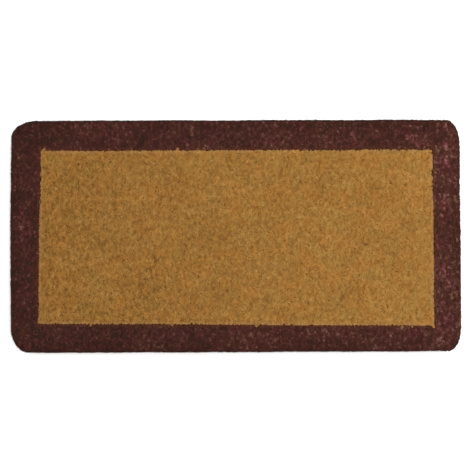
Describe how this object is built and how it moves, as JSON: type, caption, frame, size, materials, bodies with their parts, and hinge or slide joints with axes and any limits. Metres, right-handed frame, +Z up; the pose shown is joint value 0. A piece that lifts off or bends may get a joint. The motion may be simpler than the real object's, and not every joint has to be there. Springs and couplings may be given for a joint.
{
  "type": "door mat",
  "caption": "Handwoven coir door mat with thick cut pile, a plain natural field, a dyed dark border, rounded corners and a braided edge underneath.",
  "frame": {"origin": "on the floor, under the middle of the mat's outline", "axes": "+X along the mat's length to the right, +Y across it to the rear, +Z up out of the pile"},
  "size_m": [0.914, 0.47, 0.036],
  "materials": {
    "natural_pile": "cut coir fibre, undyed, matt with a slight sheen",
    "dyed_pile": "cut coir fibre, dyed dark maroon brown, matt",
    "base_yarn": "two-ply coir yarn, undyed, hairy",
    "edge_braid": "plaited coir yarn, undyed, hairy",
    "sewing_twine": "thin two-ply coir twine"
  },
  "bodies": {
    "root": {"pile_field": "natural_pile", "pile_border_front": "dyed_pile", "pile_border_rear": "dyed_pile", "pile_border_left": "dyed_pile", "pile_border_right": "dyed_pile", "chain_warp_upper": "base_yarn", "chain_warp_lower": "base_yarn", "stuffer_warp": "base_yarn", "weft_yarns": "base_yarn", "warp_tucks_left": "base_yarn", "warp_tucks_right": "base_yarn", "braid_strand_lower": "edge_braid", "braid_strand_middle": "edge_braid", "braid_strand_upper": "edge_braid", "edge_stitches_front": "sewing_twine", "edge_stitches_rear": "sewing_twine", "edge_stitches_left": "sewing_twine", "edge_stitches_right": "sewing_twine"}
  },
  "joints": []
}
